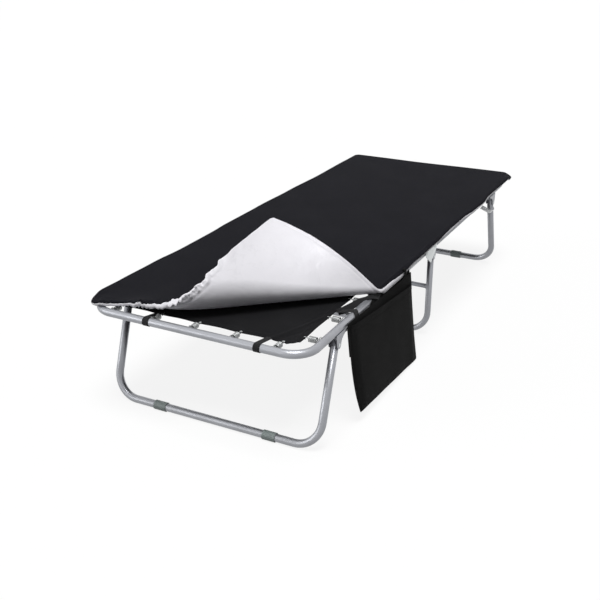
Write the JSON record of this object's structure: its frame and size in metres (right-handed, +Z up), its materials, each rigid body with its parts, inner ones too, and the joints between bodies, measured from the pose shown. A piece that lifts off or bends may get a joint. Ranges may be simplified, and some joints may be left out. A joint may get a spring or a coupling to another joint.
{
  "type": "folding camp bed",
  "caption": "Folding camp bed with a hinged tube frame, three U-shaped legs, a sprung cloth, a thin pad with one corner turned back, and a side pocket.",
  "frame": {"origin": "on the floor under the middle of the bed's overall box", "axes": "+X across the bed towards the side with the pocket, +Y along the bed towards the far end, +Z up"},
  "size_m": [0.7802, 1.9102, 0.5552],
  "materials": {
    "steel_grey": "silver-grey powder coat, satin",
    "zinc": "bright zinc plate",
    "sleeve_plastic": "moulded grey-green plastic, matt",
    "plug_plastic": "moulded black plastic",
    "bed_cloth": "tight black polyester weave",
    "pad_top": "black brushed polyester",
    "pad_lining": "silver-white coated fabric with a soft sheen",
    "black_webbing": "woven black webbing",
    "grey_webbing": "woven light grey webbing",
    "pocket_cloth": "matt black polyester"
  },
  "bodies": {
    "far_half": {"far_frame_tube": "steel_grey", "far_tube_plug_left": "plug_plastic", "far_tube_plug_right": "plug_plastic", "far_leg_bracket_left": "steel_grey", "far_leg_bracket_right": "steel_grey", "far_leg_pin_left": "zinc", "far_leg_pin_right": "zinc", "centre_leg_bracket_left": "steel_grey", "centre_leg_bracket_right": "steel_grey", "centre_leg_pin_left": "zinc", "centre_leg_pin_right": "zinc", "far_bed_cloth": "bed_cloth", "far_end_springs": "zinc", "far_left_springs": "zinc", "far_right_springs": "zinc", "far_end_strap_left": "black_webbing", "far_end_strap_right": "black_webbing", "far_pad": "pad_top"},
    "hinge_links": {"hinge_plate_left": "zinc", "hinge_plate_right": "zinc", "near_hinge_pin_left": "zinc", "near_hinge_pin_right": "zinc", "far_hinge_pin_left": "zinc", "far_hinge_pin_right": "zinc", "bed_cloth_hinge_strip": "bed_cloth", "pad_hinge_strip": "pad_top"},
    "near_half": {"near_frame_tube": "steel_grey", "near_tube_plug_left": "plug_plastic", "near_tube_plug_right": "plug_plastic", "near_leg_bracket_left": "steel_grey", "near_leg_bracket_right": "steel_grey", "near_leg_pin_left": "zinc", "near_leg_pin_right": "zinc", "near_bed_cloth": "bed_cloth", "near_end_spring_1": "zinc", "near_end_spring_2": "zinc", "near_end_spring_3": "zinc", "near_end_spring_4": "zinc", "near_end_spring_5": "zinc", "near_left_springs": "zinc", "near_right_springs": "zinc", "near_end_strap_left": "black_webbing", "near_end_strap_right": "black_webbing", "pocket_strap_near": "black_webbing", "pocket_strap_far": "black_webbing", "side_pocket": "pocket_cloth", "near_pad": "pad_top", "pad_turned_corner": "pad_lining"},
    "near_leg": {"near_leg": "steel_grey", "near_leg_sleeve_left": "sleeve_plastic", "near_leg_sleeve_right": "sleeve_plastic"},
    "far_leg": {"far_leg": "steel_grey", "far_leg_sleeve_left": "sleeve_plastic", "far_leg_sleeve_right": "sleeve_plastic", "closing_strap": "grey_webbing"},
    "centre_leg": {"centre_leg": "steel_grey", "centre_leg_crossbar": "steel_grey", "centre_leg_sleeve_left": "sleeve_plastic", "centre_leg_sleeve_right": "sleeve_plastic"}
  },
  "joints": [
    {"name": "hinge_fold", "type": "hinge", "parent": "far_half", "child": "hinge_links", "pos_m": [0, 0.0385, 0.35], "axis": [-1, 0, 0], "range_deg": [0, 90], "deforming": ["bed_cloth_hinge_strip", "pad_hinge_strip"]},
    {"name": "near_half_fold", "type": "hinge", "parent": "hinge_links", "child": "near_half", "pos_m": [0, -0.0385, 0.35], "axis": [-1, 0, 0], "range_deg": [0, 90], "deforming": ["pad_turned_corner"]},
    {"name": "near_leg_fold", "type": "hinge", "parent": "near_half", "child": "near_leg", "pos_m": [0, -0.7533, 0.312], "axis": [1, 0, 0], "range_deg": [0, 108]},
    {"name": "far_leg_fold", "type": "hinge", "parent": "far_half", "child": "far_leg", "pos_m": [0, 0.7533, 0.312], "axis": [-1, 0, 0], "range_deg": [0, 108]},
    {"name": "centre_leg_fold", "type": "hinge", "parent": "far_half", "child": "centre_leg", "pos_m": [0, 0.042, 0.312], "axis": [1, 0, 0], "range_deg": [0, 90]}
  ],
  "couplings": [
    {"joint": "near_half_fold", "follows": "hinge_fold", "ratio": 1}
  ]
}
